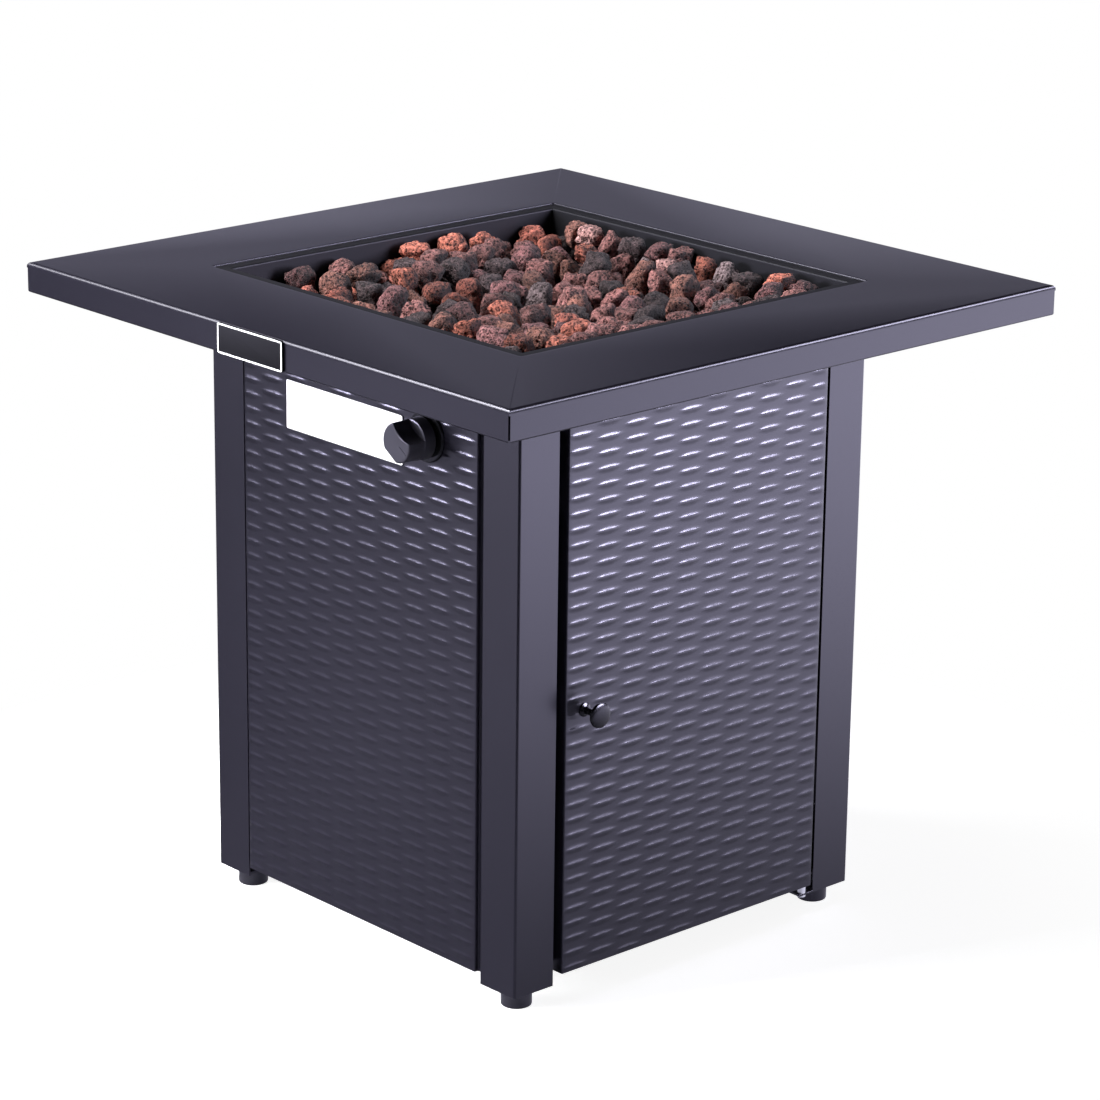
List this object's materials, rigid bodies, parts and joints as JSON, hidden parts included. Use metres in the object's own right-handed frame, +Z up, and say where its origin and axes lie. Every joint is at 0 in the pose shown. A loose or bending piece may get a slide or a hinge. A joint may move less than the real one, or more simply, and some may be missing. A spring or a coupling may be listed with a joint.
{
  "type": "gas fire pit table",
  "caption": "Square gas fire pit table: folded steel top with a sunken lava rock bowl, on a four-post base with panelled sides, a hinged door and a control knob.",
  "frame": {"origin": "on the floor, under the middle of the table top", "axes": "+Z up; the front with the control knob faces -Y; the door faces +X and is hinged at its +Y edge"},
  "size_m": [0.711, 0.7135, 0.647],
  "materials": {
    "charcoal_coat": "fine satin powder coat",
    "dark_coat": "matt powder coat",
    "black_coat": "semi-gloss enamel",
    "plate_black": "black anodised, thin white border",
    "galvanised": "galvanised sheet",
    "zinc": "zinc plated",
    "burner_steel": "heat-tinted stainless",
    "brass": "machined",
    "aluminium_tube": "drawn",
    "ceramic": "unglazed",
    "black_plastic": "moulded, fine grain",
    "white_print": "printed",
    "lava_stone": "porous, rough"
  },
  "bodies": {
    "frame": {"table_top": "charcoal_coat", "name_plate": "plate_black", "burner_pan": "dark_coat", "top_nuts": "zinc", "top_rail_front": "dark_coat", "top_rail_right": "dark_coat", "top_rail_back": "dark_coat", "top_rail_left": "dark_coat", "post_front_left": "charcoal_coat", "post_front_right": "charcoal_coat", "post_back_right": "charcoal_coat", "post_back_left": "charcoal_coat", "front_panel": "charcoal_coat", "back_panel": "charcoal_coat", "left_panel": "charcoal_coat", "panel_nuts": "zinc", "lower_hinge_pin": "zinc", "upper_hinge_pin": "zinc", "magnet_catch": "black_plastic", "bottle_shelf": "dark_coat", "shelf_screws": "zinc", "heat_shield": "galvanised", "burner_ring": "burner_steel", "spud_nut": "brass", "air_mixer": "brass", "pilot_guard": "burner_steel", "igniter_electrode": "ceramic", "flame_sensor": "burner_steel", "valve_body": "brass", "knob_bezel": "black_plastic", "feed_tube": "aluminium_tube", "feed_nuts": "brass", "lava_rocks": "lava_stone"},
    "door": {"door_panel": "charcoal_coat", "door_knob": "black_coat", "door_knob_screw": "zinc"},
    "knob_push": {"valve_seat": "brass"},
    "knob": {"valve_stem": "brass", "control_knob": "black_plastic", "knob_pointer": "white_print"},
    "air_shutter": {"air_shutter": "burner_steel"},
    "foot_front_left": {"foot_pad_front_left": "black_plastic", "foot_stud_front_left": "zinc"},
    "foot_front_right": {"foot_pad_front_right": "black_plastic", "foot_stud_front_right": "zinc"},
    "foot_back_right": {"foot_pad_back_right": "black_plastic", "foot_stud_back_right": "zinc"},
    "foot_back_left": {"foot_pad_back_left": "black_plastic", "foot_stud_back_left": "zinc"}
  },
  "joints": [
    {"name": "door_hinge", "type": "hinge", "parent": "frame", "child": "door", "pos_m": [0.2225, 0.166, 0.32125], "axis": [0, 0, 1], "range_deg": [0, 100]},
    {"name": "knob_push", "type": "slide", "parent": "frame", "child": "knob_push", "axis": [0, 1, 0], "range_m": [0, 0.003], "stiffness_N_per_m": 600},
    {"name": "knob_turn", "type": "hinge", "parent": "knob_push", "child": "knob", "pos_m": [0.102, -0.237, 0.546], "axis": [0, -1, 0], "range_deg": [0, 180]},
    {"name": "air_shutter_turn", "type": "hinge", "parent": "frame", "child": "air_shutter", "pos_m": [0, 0, 0.531], "axis": [0, 0, 1], "range_deg": [0, 90]},
    {"name": "foot_turn_front_left", "type": "hinge", "parent": "frame", "child": "foot_front_left", "pos_m": [-0.2025, -0.2025, 0.019], "axis": [0, 0, 1], "continuous": true},
    {"name": "foot_turn_front_right", "type": "hinge", "parent": "frame", "child": "foot_front_right", "pos_m": [0.2025, -0.2025, 0.019], "axis": [0, 0, 1], "continuous": true},
    {"name": "foot_turn_back_right", "type": "hinge", "parent": "frame", "child": "foot_back_right", "pos_m": [0.2025, 0.2025, 0.019], "axis": [0, 0, 1], "continuous": true},
    {"name": "foot_turn_back_left", "type": "hinge", "parent": "frame", "child": "foot_back_left", "pos_m": [-0.2025, 0.2025, 0.019], "axis": [0, 0, 1], "continuous": true}
  ]
}
